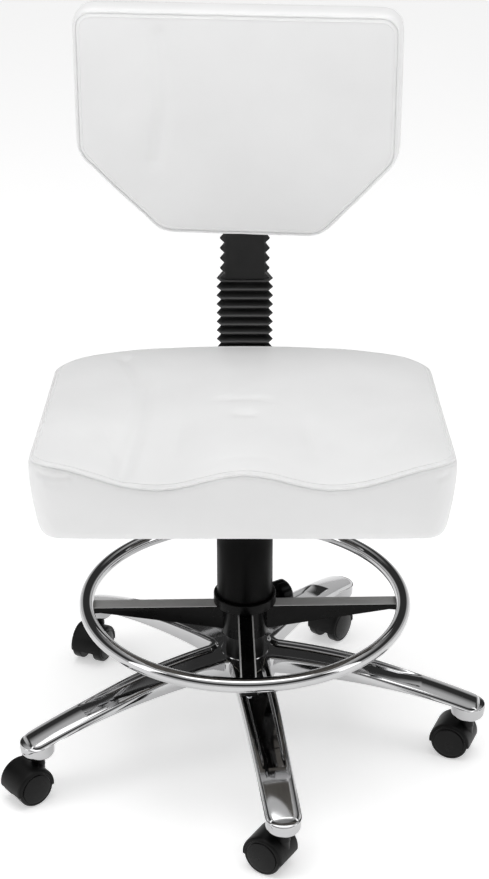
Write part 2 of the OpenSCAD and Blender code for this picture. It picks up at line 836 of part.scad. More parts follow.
module height_knob() {
    tip_y = bar_y + bar_t / 2 + bar_gap;
    color([0.08, 0.08, 0.08]) translate([0, tip_y, height_knob_z]) rotate([-90, 0, 0])
        clamp_knob(height_knob_y - tip_y);
}

base_star();
caster_sockets();
for (i = [0:arm_count - 1]) {
    caster_housing(i);
    caster_stem(i);
    caster_axle(i);
    caster_wheel(i, 1);
    caster_wheel(i, -1);
}
column_tube();
column_bushing();
thrust_bearing();
stop_bumper();
piston_rod();
rod_clip();
pressure_tube();
release_pin();
lower_cover();
upper_cover();
ring_spider();
ring_liner();
foot_ring();
ring_screws();
ring_knob();
seat_mechanism();
gas_socket();
height_lever();
lever_pivot_pin();
lever_paddle();
seat_bolts();
seat_tee_nuts();
seat_board();
seat_cushion();
back_bar();
depth_knob();
lower_boot();
upper_boot();
back_bracket();
back_board();
back_cushion();
back_screws();
height_knob();
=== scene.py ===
import json
import math

import bmesh
import bpy
import numpy as np
from mathutils import Matrix, Vector


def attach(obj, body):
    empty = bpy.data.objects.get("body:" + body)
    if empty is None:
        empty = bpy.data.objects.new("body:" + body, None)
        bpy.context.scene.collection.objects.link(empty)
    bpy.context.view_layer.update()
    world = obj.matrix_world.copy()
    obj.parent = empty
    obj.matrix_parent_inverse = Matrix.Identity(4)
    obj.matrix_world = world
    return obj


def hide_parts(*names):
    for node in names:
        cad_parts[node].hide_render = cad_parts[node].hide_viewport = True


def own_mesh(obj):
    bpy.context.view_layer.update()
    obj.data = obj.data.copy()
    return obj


print("loading the frame")
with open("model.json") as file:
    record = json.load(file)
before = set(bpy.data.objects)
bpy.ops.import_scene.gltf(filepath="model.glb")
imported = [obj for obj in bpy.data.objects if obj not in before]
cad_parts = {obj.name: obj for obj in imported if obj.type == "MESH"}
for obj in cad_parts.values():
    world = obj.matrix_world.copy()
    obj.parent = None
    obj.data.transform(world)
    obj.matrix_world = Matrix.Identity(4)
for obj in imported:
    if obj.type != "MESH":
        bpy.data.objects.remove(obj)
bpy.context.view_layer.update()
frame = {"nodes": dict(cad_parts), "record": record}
mm = 0.001


def meshPiece(name, points, faces, sharpAngle=40):
    mesh = bpy.data.meshes.new(name)
    mesh.from_pydata([tuple(p) for p in points], [], faces)
    mesh.update()
    piece = bpy.data.objects.new(name, mesh)
    bpy.context.scene.collection.objects.link(piece)
    cleanMesh(piece)
    smoothShade(piece, sharpAngle)
    return piece


def cleanMesh(piece, gap=0.00002):
    # merge doubles, drop what collapsed, and turn every face outwards
    work = bmesh.new()
    work.from_mesh(piece.data)
    bmesh.ops.remove_doubles(work, verts=work.verts, dist=gap)
    bmesh.ops.dissolve_degenerate(work, edges=work.edges, dist=gap / 2)
    bmesh.ops.recalc_face_normals(work, faces=work.faces)
    work.to_mesh(piece.data)
    work.free()
    piece.data.update()


def smoothShade(piece, sharpAngle=40):
    piece.data.shade_smooth()
    piece.data.set_sharp_from_angle(angle=math.radians(sharpAngle))


def applyModifiers(piece):
    graph = bpy.context.evaluated_depsgraph_get()
    fresh = bpy.data.meshes.new_from_object(piece.evaluated_get(graph), depsgraph=graph)
    piece.modifiers.clear()
    piece.data = fresh
    return piece


def joinPieces(name, pieces):
    bpy.ops.object.select_all(action="DESELECT")
    for piece in pieces:
        piece.select_set(True)
    bpy.context.view_layer.objects.active = pieces[0]
    bpy.ops.object.join()
    joined = bpy.context.view_layer.objects.active
    joined.name = name
    return joined


def revolve(name, profile, steps=96, centre=(0, 0), sharpAngle=40):
    # profile is a closed loop of (radius, height), turned about an upright axis
    points = []
    faces = []
    for i in range(steps):
        turn = 2 * math.pi * i / steps
        for radius, height in profile:
            x, y = radius * math.cos(turn), radius * math.sin(turn)
            points.append((centre[0] + x, centre[1] + y, height))
    count = len(profile)
    for i in range(steps):
        for k in range(count):
            a, b = i * count + k, i * count + (k + 1) % count
            c, d = (i + 1) % steps * count + (k + 1) % count, (i + 1) % steps * count + k
            faces.append((a, b, c, d))
    return meshPiece(name, points, faces, sharpAngle)


def roundCorner(cx, cy, radius, fromDeg, toDeg, steps=6):
    return [(cx + radius * math.cos(math.radians(fromDeg + (toDeg - fromDeg) * i / steps)),
             cy + radius * math.sin(math.radians(fromDeg + (toDeg - fromDeg) * i / steps)))
            for i in range(steps + 1)]


def smoothStep(low, high, value):
    t = min(1.0, max(0.0, (value - low) / (high - low)))
    return t * t * (3 - 2 * t)


def finish(piece, body, material, nodes=()):
    piece.data.materials.clear()
    piece.data.materials.append(material)
    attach(piece, body)
    if nodes:
        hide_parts(*nodes)
    return piece


def newMaterial(name, **settings):
    material = bpy.data.materials.new(name)
    material.use_nodes = True
    shader = material.node_tree.nodes["Principled BSDF"]
    for socket, value in settings.items():
        shader.inputs[socket.replace("_", " ")].default_value = value
    return material


def addNode(material, kind, **inputs):
    node = material.node_tree.nodes.new(kind)
    for socket, value in inputs.items():
        node.inputs[socket.replace("_", " ")].default_value = value
    return node


def wire(material, source, target):
    material.node_tree.links.new(source, target)


def shaderOf(material):
    return material.node_tree.nodes["Principled BSDF"]


def objectPlace(material, scale=(1, 1, 1)):
    place = addNode(material, "ShaderNodeTexCoord")
    mapping = addNode(material, "ShaderNodeMapping", Scale=scale)
    wire(material, place.outputs["Object"], mapping.inputs["Vector"])
    return mapping.outputs["Vector"]


def grainOf(material, scale, detail=3.0, stretch=(1, 1, 1), rough=0.5):
    grain = addNode(material, "ShaderNodeTexNoise", Scale=scale, Detail=detail, Roughness=rough)
    wire(material, objectPlace(material, stretch), grain.inputs["Vector"])
    return grain.outputs["Fac"]


def spread(material, value, low, high):
    # turns a 0 to 1 pattern into the range low to high
    ramp = addNode(material, "ShaderNodeMapRange", To_Min=low, To_Max=high)
    ramp.inputs["From Min"].default_value = 0.3
    ramp.inputs["From Max"].default_value = 0.7
    wire(material, value, ramp.inputs["Value"])
    return ramp.outputs["Result"]


def bumpFrom(material, height, strength, distance, below=None):
    bump = addNode(material, "ShaderNodeBump", Strength=strength, Distance=distance)
    wire(material, height, bump.inputs["Height"])
    if below is not None:
        wire(material, below, bump.inputs["Normal"])
    return bump.outputs["Normal"]


def tint(material, value, dark, light):
    ramp = addNode(material, "ShaderNodeValToRGB")
    ramp.color_ramp.elements[0].position = 0.3
    ramp.color_ramp.elements[1].position = 0.7
    ramp.color_ramp.elements[0].color = (*dark, 1)
    ramp.color_ramp.elements[1].color = (*light, 1)
    wire(material, value, ramp.inputs["Fac"])
    wire(material, ramp.outputs["Color"], shaderOf(material).inputs["Base Color"])


def polishedMetal(name, colour, smooth, dull, ripple):
    material = newMaterial(name, Metallic=1.0)
    shader = shaderOf(material)
    haze = grainOf(material, 18, 4)
    scratch = grainOf(material, 900, 2, (1, 0.12, 0.3))
    wire(material, spread(material, haze, smooth, dull), shader.inputs["Roughness"])
    tint(material, haze, tuple(c * 0.94 for c in colour), colour)
    fine = bumpFrom(material, scratch, 0.05, 0.0001)
    waves = bumpFrom(material, grainOf(material, 22, 1), ripple, 0.002, fine)
    wire(material, waves, shader.inputs["Normal"])
    return material


def mouldedPlastic(name, dark, light, smooth, dull, grainSize, grainDepth, shine=0.28):
    material = newMaterial(name, Specular_IOR_Level=shine)
    shader = shaderOf(material)
    patches = grainOf(material, 35, 4)
    tint(material, patches, dark, light)
    wire(material, spread(material, patches, smooth, dull), shader.inputs["Roughness"])
    texture = grainOf(material, grainSize, 2)
    wire(material, bumpFrom(material, texture, grainDepth, 0.0002), shader.inputs["Normal"])
    return material


def vinylCover(name, dark, light):
    material = newMaterial(name, Sheen_Weight=0.05, Sheen_Roughness=0.4, Specular_IOR_Level=0.45)
    shader = shaderOf(material)
    patches = grainOf(material, 6, 3)
    tint(material, patches, dark, light)
    wire(material, spread(material, patches, 0.40, 0.50), shader.inputs["Roughness"])
    pores = addNode(material, "ShaderNodeTexVoronoi", Scale=900)
    pores.feature = "DISTANCE_TO_EDGE"
    wire(material, objectPlace(material), pores.inputs["Vector"])
    crease = grainOf(material, 260, 4, (1, 1, 1), 0.6)
    first = bumpFrom(material, pores.outputs["Distance"], 0.10, 0.0004)
    second = bumpFrom(material, crease, 0.12, 0.0003, first)
    waves = bumpFrom(material, grainOf(material, 14, 2), 0.10, 0.004, second)
    wire(material, waves, shader.inputs["Normal"])
    return material


def grey(level):
    return (level, level, level)


print("making the materials")
mats = {
    "polished_aluminium": polishedMetal("polishedAluminium", (0.50, 0.50, 0.505), 0.05, 0.11, 0.04),
    "chrome": polishedMetal("chromePlate", (0.52, 0.52, 0.525), 0.03, 0.06, 0.0),
    "zinc_steel": polishedMetal("zincSteel", (0.55, 0.56, 0.58), 0.25, 0.38, 0.0),
    "black_enamel": mouldedPlastic("blackEnamel", grey(0.002), grey(0.004), 0.26, 0.34, 260, 0.05),
    "gas_black": mouldedPlastic("satinBlackTube", grey(0.003), grey(0.005), 0.34, 0.44, 500, 0.05),
    "black_nylon": mouldedPlastic("blackNylon", grey(0.003), grey(0.006), 0.34, 0.44, 1500, 0.22, 0.16),
    "black_gloss_plastic": mouldedPlastic("glossBlackPlastic", grey(0.002), grey(0.004), 0.20, 0.30,
                                          500, 0.04, 0.18),
    "pale_nylon": mouldedPlastic("paleNylon", (0.66, 0.63, 0.55), (0.74, 0.71, 0.63), 0.4, 0.5, 700, 0.08),
    "black_rubber": mouldedPlastic("blackRubber", grey(0.006), grey(0.012), 0.42, 0.54, 1200, 0.2),
    "white_vinyl": vinylCover("whiteVinyl", grey(0.80), grey(0.85)),
    "plywood": mouldedPlastic("plywood", (0.11, 0.10, 0.09), (0.15, 0.14, 0.125), 0.6, 0.7, 300, 0.2),
}


def paintedCrestHighlight(material, paintedLightColour):
    # painted highlight: the crests of the folds are painted a paler grey, standing in for the light they
    # catch
    shader = shaderOf(material)
    marked = addNode(material, "ShaderNodeAttribute")
    marked.attribute_name = "crestHighlight"
    paintedLightMix = addNode(material, "ShaderNodeMix")
    paintedLightMix.data_type = "RGBA"
    paintedLightMix.inputs[7].default_value = (*paintedLightColour, 1)
    wire(material, marked.outputs["Fac"], paintedLightMix.inputs[0])
    wire(material, shader.inputs["Base Color"].links[0].from_socket, paintedLightMix.inputs[6])
    wire(material, paintedLightMix.outputs[2], shader.inputs["Base Color"])


def paintedTopReflection(material, level, tolerance, paintedLightColour):
    # painted reflection: surfaces at one height, outside a narrow strip in the middle, take a paler colour,
    # standing in for the bright surroundings reflected on them
    shader = shaderOf(material)
    split = addNode(material, "ShaderNodeSeparateXYZ")
    place = objectPlace(material)
    place.node.inputs["Rotation"].default_value = (0, 0, math.radians(-1.5))
    wire(material, place, split.inputs["Vector"])
    near = addNode(material, "ShaderNodeMath")
    near.operation = "COMPARE"
    near.inputs[1].default_value = level
    near.inputs[2].default_value = tolerance
    wire(material, split.outputs["Z"], near.inputs[0])
    paintedLightMix = addNode(material, "ShaderNodeMix")
    paintedLightMix.data_type = "RGBA"
    paintedLightMix.inputs[7].default_value = (*paintedLightColour, 1)
    aside = addNode(material, "ShaderNodeMath")
    aside.operation = "ABSOLUTE"
    wire(material, split.outputs["X"], aside.inputs[0])
    beyond = addNode(material, "ShaderNodeMath")
    beyond.operation = "GREATER_THAN"
    beyond.inputs[1].default_value = 0.0082
    wire(material, aside.outputs["Value"], beyond.inputs[0])
    # mask of the painted reflection: on the top level and away from the middle strip
    both = addNode(material, "ShaderNodeMath")
    both.operation = "MULTIPLY"
    wire(material, near.outputs["Value"], both.inputs[0])
    wire(material, beyond.outputs["Value"], both.inputs[1])
    before = shader.inputs["Base Color"].links[0].from_socket
    wire(material, both.outputs["Value"], paintedLightMix.inputs[0])
    wire(material, before, paintedLightMix.inputs[6])
    wire(material, paintedLightMix.outputs[2], shader.inputs["Base Color"])


mats["cover_plastic"] = mouldedPlastic("coverPlastic", grey(0.002), grey(0.003), 0.34, 0.42,
                                       700, 0.05, 0.06)
# spoke enamel with a painted reflection: the flat spoke tops at 207 mm are painted pale grey (0.62),
# standing in for the bright backdrop they reflect
mats["spoke_enamel_painted_reflection"] = mouldedPlastic("spokeEnamelPaintedReflection", grey(0.002), grey(0.004), 0.24, 0.32, 260, 0.05, 0.10)
paintedTopReflection(mats["spoke_enamel_painted_reflection"], 0.207, 0.0006, grey(0.62))
# painted highlight: the lower boot's fold crests are painted paler grey (0.10) where light catches them
paintedCrestHighlight(mats["black_rubber"], grey(0.10))
for part in frame["record"]["subparts"]:
    node = frame["nodes"][part["node"]]
    node.data.materials.clear()
    node.data.materials.append(mats[part["material_slot"]])


star = {
    "arms": 5, "turn": 9, "reach": 300, "rootHalf": 25.3, "tipHalf": 22, "valleyFillet": 7,
    "crown": 141, "droop": 0.000567, "wallRoot": 27, "wallTip": 9, "edgeRound": 3.0,
    "pocketDepth": 5, "pocketRampStart": 205, "pocketEnd": 237,
    "tipCrown": 5, "tipCut": 311.7, "tipSlope": 0.8, "skin": 4, "hubRadius": 30,
    "roundFrom": 150, "roundMore": 2.0, "pocketWallFrom": 7.2, "pocketWallTo": 11.2,
    "crownFrom": 120, "crownTo": 240, "fanSteps": 10, "hubSteps": 6, "straightSteps": 46, "tipSteps": 18,
}
railSteps = [0, 0.25, 0.8, 1.6, 2.6, 3.6, 5.0, 6.8, 7.6, 8.3, 9.2, 10.2, 11.2, 12.2]
wallSteps = [0.12, 0.3, 0.5, 0.7, 0.86, 0.95]


def armTopHeight(x, y, inset, half):
    # height of the casting's top: droop, edge rounding, sunk pocket, crowned end
    s = star
    height = s["crown"] - s["droop"] * x * x
    along = max(0.0, min(1.0, (x - s["roundFrom"]) / (s["reach"] - s["roundFrom"])))
    edge = s["edgeRound"] + s["roundMore"] * along
    if inset < edge:
        height -= edge - math.sqrt(max(0.0, edge * edge - (edge - inset) ** 2))
    wallDown = smoothStep(s["pocketWallFrom"], s["pocketWallTo"], inset)
    ramp = 1 - max(0.0, min(1.0, (x - s["pocketRampStart"]) / (s["pocketEnd"] - s["pocketRampStart"])))
    height -= s["pocketDepth"] * wallDown * ramp ** 0.8 if x < s["pocketEnd"] else 0
    side = min(1.0, abs(y) / half)
    height -= s["tipCrown"] * smoothStep(s["crownFrom"], s["crownTo"], x) * side ** 2.2
    if x > s["tipCut"]:
        height -= s["tipSlope"] * (x - s["tipCut"])
    return height


def halfArmRows():
    # each row: outline point, outward direction and inner end, with x along the arm and y across it
    s = star
    half = math.pi / s["arms"]
    slope = (s["rootHalf"] - s["tipHalf"]) / s["reach"]
    fillet = s["valleyFillet"]
    centre = (s["rootHalf"] + fillet) / (math.sin(half) + slope * math.cos(half))
    cx, cy = centre * math.cos(half), centre * math.sin(half)
    rows = []
    fan, onDrum, steps, tipSteps = s["fanSteps"], s["hubSteps"], s["straightSteps"], s["tipSteps"]
    for i in range(fan + 1):
        turn = -math.pi + half + (math.pi / 2 - half) * i / fan
        out = (-math.cos(turn), -math.sin(turn))
        rim = (cx + fillet * math.cos(turn), cy + fillet * math.sin(turn))
        if i <= onDrum:
            at = half * (1 - i / onDrum)
            inner = (s["hubRadius"] * math.cos(at), s["hubRadius"] * math.sin(at))
        else:
            inner = (s["hubRadius"] + (cx - s["hubRadius"]) * (i - onDrum) / (fan - onDrum), 0)
        rows.append((rim, out, inner, i <= onDrum))
    straight = [cx + (s["reach"] - cx) * i / steps for i in range(1, steps + 1)]
    straight = sorted(straight + [s["pocketEnd"] - 0.2, s["pocketEnd"] + 0.2])
    for x in straight:
        rows.append(((x, s["rootHalf"] - slope * x), (0, 1), (x, 0), False))
    for i in range(1, tipSteps + 1):
        turn = math.pi / 2 * (1 - i / tipSteps)
        out = (math.cos(turn), math.sin(turn))
        rim = (s["reach"] + s["tipHalf"] * out[0], s["tipHalf"] * out[1])
        rows.append((rim, out, (s["reach"], 0), False))
    return rows


def halfArmMesh():
    s = star
    slope = (s["rootHalf"] - s["tipHalf"]) / s["reach"]
    grid = []
    for rim, out, inner, onHub in halfArmRows():
        x0 = min(rim[0], s["reach"])
        half = s["rootHalf"] - slope * x0
        line = []
        for inset in railSteps:
            x, y = rim[0] - out[0] * inset, rim[1] - out[1] * inset
            line.append((x, y, armTopHeight(x, y, inset, half)))
        lastX, lastY = line[-1][0], line[-1][1]
        top = []
        for k in range(1, 5):
            x, y = lastX + (inner[0] - lastX) * k / 4, lastY + (inner[1] - lastY) * k / 4
            top.append((x, y, armTopHeight(x, y, railSteps[-1] + k, half)))
        wall = s["wallRoot"] - (s["wallRoot"] - s["wallTip"]) * min(1, x0 / s["reach"])
        low = s["crown"] - s["droop"] * x0 * x0 - wall
        high = line[0][2]
        side = []
        for t in wallSteps:
            bulge = 0.7 * math.sin(math.pi * t) - 1.6 * max(0, (t - 0.7) / 0.3) ** 2
            side.append((rim[0] + out[0] * bulge, rim[1] + out[1] * bulge, high + (low - high) * t))
        roof = max(low, s["crown"] - s["droop"] * x0 * x0 - s["pocketDepth"] - s["skin"])
        if onHub or x0 < 50:
            roof = low
        under = []
        for inset, height in [(2.4, low), (3.6, low), (4.3, low + 0.7 * (roof > low)), (5.0, roof)]:
            under.append((rim[0] - out[0] * inset, rim[1] - out[1] * inset, height))
        under.append((inner[0], inner[1], roof))
        grid.append((top[::-1] + line[::-1] + side + under, onHub))
    return grid


def starBasePiece():
    s = star
    grid = halfArmMesh()
    points, faces = [], []
    for arm in range(s["arms"]):
        turn = math.radians(s["turn"] - 90 + 360 / s["arms"] * arm)
        c, d = math.cos(turn), math.sin(turn)
        for flip in (1, -1):
            start = len(points)
            width = len(grid[0][0])
            for line, _ in grid:
                for x, y, z in line:
                    y *= flip
                    points.append(((x * c - y * d) * mm, (x * d + y * c) * mm, z * mm))
            for i in range(len(grid) - 1):
                for k in range(width - 1):
                    a = start + i * width + k
                    faces.append((a, a + 1, a + width + 1, a + width))
                if grid[i][1] and grid[i + 1][1]:
                    a, b = start + i * width, start + (i + 1) * width
                    faces.append((a, b, b + width - 1, a + width - 1))
    arms = meshPiece("starArms", points, faces, 32)
    collar = revolve("starCollar", [(r * mm, z * mm) for r, z in
        [(25.2, 120), (25.2, 136.4), (31, 136.2), (37, 130), (36, 120)]], 96)
    drum = revolve("starDrum", [(r * mm, z * mm) for r, z in
        [(25.2, 100), (39, 100)] + roundCorner(39, 103, 3, -90, 0) + [(42, 118), (25.2, 118)]], 96)
    pieces = [arms, collar, drum]
    for arm in range(s["arms"]):
        turn = math.radians(s["turn"] - 90 + 360 / s["arms"] * arm)
        centre = (s["reach"] * math.cos(turn) * mm, s["reach"] * math.sin(turn) * mm)
        cup = [(r * mm, z * mm) for r, z in [(7.2, 61), (15, 61)] + roundCorner(15, 68, 7, -90, 0, 8)
               + [(22, 76), (21.9, 80.5), (20, 81.5), (7.2, 82)]]
        pieces.append(revolve(f"knuckle{arm}", cup, 72, centre, 50))
    whole = joinPieces("starBase", pieces)
    return finish(whole, "base", mats["polished_aluminium"], ["base_star"])


print("casting the star base")
starBasePiece()


def insetCorners(corners, inset):
    # moves every side of a convex outline inwards by the same distance
    moved = []
    count = len(corners)
    for i in range(count):
        before, here, after = (Vector(corners[(i + k) % count]) for k in (-1, 0, 1))
        first, second = (here - before).normalized(), (after - here).normalized()
        normalA, normalB = Vector((-first.y, first.x)), Vector((-second.y, second.x))
        share = inset / max(0.2, 1 + normalA.dot(normalB))
        moved.append(here + (normalA + normalB) * share)
    return moved


def roundedOutline(corners, radii, inset=0.0, arcSteps=9, sideSteps=22):
    # corners run anticlockwise; every call gives the same number of points
    points = []
    corners = insetCorners(corners, inset)
    count = len(corners)
    arcs = []
    for i in range(count):
        before, here, after = corners[i - 1], corners[i], corners[(i + 1) % count]
        first, second = (here - before).normalized(), (after - here).normalized()
        turn = first.angle_signed(second) if first.length and second.length else 0
        half = abs(turn) / 2
        reach = min((here - before).length, (after - here).length) * 0.45
        radius = min(max(3.0, radii[i] - inset * 0.8), reach / math.tan(half))
        start = here - first * radius * math.tan(half)
        centre = start + Vector((-first.y, first.x)) * radius
        arcs.append([centre + Matrix.Rotation(2 * half * k / arcSteps, 2) @ (start - centre)
                     for k in range(arcSteps + 1)])
    for i in range(count):
        points += arcs[i]
        here, there = arcs[i][-1], arcs[(i + 1) % count][0]
        points += [here.lerp(there, k / sideSteps) for k in range(1, sideSteps)]
    return points


def ringShell(name, rings):
    # skins a stack of rings and closes both ends
    count = len(rings[0])
    points = [p for ring in rings for p in ring]
    faces = []
    for i in range(len(rings) - 1):
        for k in range(count):
            a, b = i * count + k, i * count + (k + 1) % count
            faces.append((a, b, b + count, a + count))
    for ring, first in ((rings[0], 0), (rings[-1], (len(rings) - 1) * count)):
        middle = len(points)
        points.append(tuple(sum(p[k] for p in ring) / count for k in range(3)))
        for k in range(count):
            faces.append((first + k, first + (k + 1) % count, middle))
    return meshPiece(name, points, faces, 60)


def evenMesh(piece, voxel):
    remesh = piece.modifiers.new("evenMesh", "REMESH")
    remesh.mode = "VOXEL"
    remesh.voxel_size = voxel
    applyModifiers(piece)


def swell(piece, pressure, cap, held, frames=20):
    # cloth under pressure: held(point) says how firmly a point is sewn down, 0 to 1
    rest = np.array([v.co for v in piece.data.vertices])
    sewn = piece.vertex_groups.new(name="sewn")
    for i, point in enumerate(rest):
        firm = held(point / mm)
        if firm > 0:
            sewn.add([i], min(1.0, firm), "REPLACE")
    cloth = piece.modifiers.new("swelling", "CLOTH")
    cloth.settings.quality = 5
    cloth.settings.mass = 0.4
    cloth.settings.use_pressure = True
    cloth.settings.uniform_pressure_force = pressure
    cloth.settings.effector_weights.gravity = 0
    cloth.settings.tension_stiffness = 20
    cloth.settings.compression_stiffness = 20
    cloth.settings.bending_stiffness = 2.0
    cloth.settings.vertex_group_mass = "sewn"
    cloth.collision_settings.use_collision = False
    cloth.collision_settings.use_self_collision = False
    cloth.point_cache.frame_start, cloth.point_cache.frame_end = 1, frames
    for step in range(1, frames + 1):
        bpy.context.scene.frame_set(step)
    graph = bpy.context.evaluated_depsgraph_get()
    swollen = piece.evaluated_get(graph).to_mesh()
    ended = np.array([v.co for v in swollen.vertices])
    bpy.context.scene.frame_set(1)
    piece.modifiers.clear()
    piece.vertex_groups.clear()
    move = ended - rest
    length = np.linalg.norm(move, axis=1)
    scale = np.where(length > cap, cap / np.maximum(length, 1e-9), 1.0)
    move = move * scale[:, None]
    piece.data.vertices.foreach_set("co", (rest + move).astype(np.float32).ravel())
    piece.data.update()
    print(piece.name, "swelled by at most", round(float(length.max()) * 1000, 1), "mm")


def refine(piece):
    smooth = piece.modifiers.new("settle", "SMOOTH")
    smooth.iterations = 4
    smooth.factor = 0.5
    finer = piece.modifiers.new("finer", "SUBSURF")
    finer.levels = finer.render_levels = 1
    applyModifiers(piece)


def pressGroove(piece, path, width, depth):
    # draws the cover in along a sewn line
    lines = np.array([tuple(p) for p in path])
    points = np.array([v.co for v in piece.data.vertices])
    normals = np.array([v.normal for v in piece.data.vertices])
    for i in range(len(points)):
        gap = np.sqrt(((lines - points[i]) ** 2).sum(1).min())
        if gap < 3 * width:
            points[i] -= normals[i] * depth * math.exp(-(gap / width) ** 2)
    piece.data.vertices.foreach_set("co", points.astype(np.float32).ravel())
    piece.data.update()


def ontoSurface(piece, path, lift=0.0):
    # lays a path of points on the cover, lifted by a distance
    laid = []
    for point in path:
        _, place, normal, _ = piece.closest_point_on_mesh(Vector(point))
        laid.append(place + normal * lift)
    return laid


def sweptNodes(name, radius, sides, material):
    # Geometry Nodes: a round cord along a closed line of mesh edges
    tree = bpy.data.node_groups.new(name, "GeometryNodeTree")
    tree.interface.new_socket("Geometry", in_out="INPUT", socket_type="NodeSocketGeometry")
    thick = tree.interface.new_socket("Cord radius", in_out="INPUT", socket_type="NodeSocketFloat")
    thick.default_value = radius
    tree.interface.new_socket("Geometry", in_out="OUTPUT", socket_type="NodeSocketGeometry")
    start, end = tree.nodes.new("NodeGroupInput"), tree.nodes.new("NodeGroupOutput")
    toCurve = tree.nodes.new("GeometryNodeMeshToCurve")
    ring = tree.nodes.new("GeometryNodeCurvePrimitiveCircle")
    ring.inputs["Resolution"].default_value = sides
    skin = tree.nodes.new("GeometryNodeCurveToMesh")
    real = tree.nodes.new("GeometryNodeRealizeInstances")
    paint = tree.nodes.new("GeometryNodeSetMaterial")
    paint.inputs["Material"].default_value = material
    tree.links.new(start.outputs["Geometry"], toCurve.inputs["Mesh"])
    tree.links.new(toCurve.outputs["Curve"], skin.inputs["Curve"])
    tree.links.new(start.outputs["Cord radius"], ring.inputs["Radius"])
    tree.links.new(ring.outputs["Curve"], skin.inputs["Profile Curve"])
    tree.links.new(skin.outputs["Mesh"], real.inputs["Geometry"])
    tree.links.new(real.outputs["Geometry"], paint.inputs["Geometry"])
    tree.links.new(paint.outputs["Geometry"], end.inputs["Geometry"])
    return tree


def stitchNodes(name, spacing, length, thickness, material):
    # Geometry Nodes: short threads set along a line, lying on the cover
    tree = bpy.data.node_groups.new(name, "GeometryNodeTree")
    tree.interface.new_socket("Geometry", in_out="INPUT", socket_type="NodeSocketGeometry")
    for label, value in (("Spacing", spacing), ("Stitch length", length), ("Thread thickness", thickness)):
        socket = tree.interface.new_socket(label, in_out="INPUT", socket_type="NodeSocketFloat")
        socket.default_value = value
    tree.interface.new_socket("Geometry", in_out="OUTPUT", socket_type="NodeSocketGeometry")
    start, end = tree.nodes.new("NodeGroupInput"), tree.nodes.new("NodeGroupOutput")
    toCurve = tree.nodes.new("GeometryNodeMeshToCurve")
    toPoints = tree.nodes.new("GeometryNodeCurveToPoints")
    toPoints.mode = "LENGTH"
    thread = tree.nodes.new("GeometryNodeMeshUVSphere")
    thread.inputs["Segments"].default_value = 6
    thread.inputs["Rings"].default_value = 4
    thread.inputs["Radius"].default_value = 0.5
    shape = tree.nodes.new("ShaderNodeCombineXYZ")
    place = tree.nodes.new("GeometryNodeInstanceOnPoints")
    aim = tree.nodes.new("FunctionNodeAlignRotationToVector")
    aim.axis = "X"
    real = tree.nodes.new("GeometryNodeRealizeInstances")
    paint = tree.nodes.new("GeometryNodeSetMaterial")
    paint.inputs["Material"].default_value = material
    link = tree.links.new
    link(start.outputs["Geometry"], toCurve.inputs["Mesh"])
    link(toCurve.outputs["Curve"], toPoints.inputs["Curve"])
    link(start.outputs["Spacing"], toPoints.inputs["Length"])
    link(toPoints.outputs["Points"], place.inputs["Points"])
    link(thread.outputs["Mesh"], place.inputs["Instance"])
    link(toPoints.outputs["Tangent"], aim.inputs["Vector"])
    link(aim.outputs["Rotation"], place.inputs["Rotation"])
    link(start.outputs["Stitch length"], shape.inputs["X"])
    link(start.outputs["Thread thickness"], shape.inputs["Y"])
    link(start.outputs["Thread thickness"], shape.inputs["Z"])
    link(shape.outputs["Vector"], place.inputs["Scale"])
    link(place.outputs["Instances"], real.inputs["Geometry"])
    link(real.outputs["Geometry"], paint.inputs["Geometry"])
    link(paint.outputs["Geometry"], end.inputs["Geometry"])
    return tree


def alongPath(name, path, tree):
    # runs a Geometry Nodes tree on a closed path and keeps the plain mesh
    mesh = bpy.data.meshes.new(name)
    count = len(path)
    mesh.from_pydata([tuple(p) for p in path], [(i, (i + 1) % count) for i in range(count)], [])
    line = bpy.data.objects.new(name, mesh)
    bpy.context.scene.collection.objects.link(line)
    made = line.modifiers.new("build", "NODES")
    made.node_group = tree
    return applyModifiers(line)


seat = {
    "width": 512, "shift": -2.5, "front": -208, "back": 215, "under": 406,
    "frontRadius": 34, "backRadius": 44, "corner": 516, "trough": 481, "ridge": 501,
    "troughAt": 103, "rearMiddle": 483, "pressure": 3.0,
    "rearDrop": 26, "crown": 6.5, "crownReach": 16, "taper": 17, "swellCap": 6, "voxel": 5.5,
    "hollows": [([(-158, 170, 480), (-128, 60, 485), (-132, -60, 485), (-146, -185, 495)], 12, 5.5),
                ([(-6, -45, 505), (6, -45, 505)], 9, 2.6),
                ([(-246, -209, 500), (-225, -211, 496), (-205, -211, 496)], 4, 2.4),
                ([(-232, -209, 488), (-212, -211, 486)], 4, 1.5),
                ([(246, -209, 498), (228, -211, 494)], 4, 1.8)],
}


def seatSeamHeight(x, y):
    s = seat
    a, half = abs(x), s["width"] / 2
    if a < s["troughAt"]:
        wave = s["trough"] + (s["ridge"] - s["trough"]) * (1 + math.cos(math.pi * a / s["troughAt"])) / 2
    else:
        part = min(1.0, (a - s["troughAt"]) / (half - s["troughAt"]))
        wave = s["trough"] + (s["corner"] - s["trough"]) * (1 - math.cos(math.pi * part)) / 2
    rear = s["rearMiddle"] - s["rearDrop"] * (a / half) ** 3
    along = min(1.0, max(0.0, (y - s["front"]) / (s["back"] - s["front"])))
    return wave + (rear - wave) * along ** 0.9


def seatCorners():
    s = seat
    half = s["width"] / 2
    left, right = s["shift"] - half, s["shift"] + half
    corners = [(left, s["front"]), (right, s["front"]), (right, s["back"]), (left, s["back"])]
    return corners, [s["frontRadius"], s["frontRadius"], s["backRadius"], s["backRadius"]]


def seatRing(inset, height):
    corners, radii = seatCorners()
    return [(p.x * mm, p.y * mm, height(p.x, p.y) * mm) for p in roundedOutline(corners, radii, inset)]


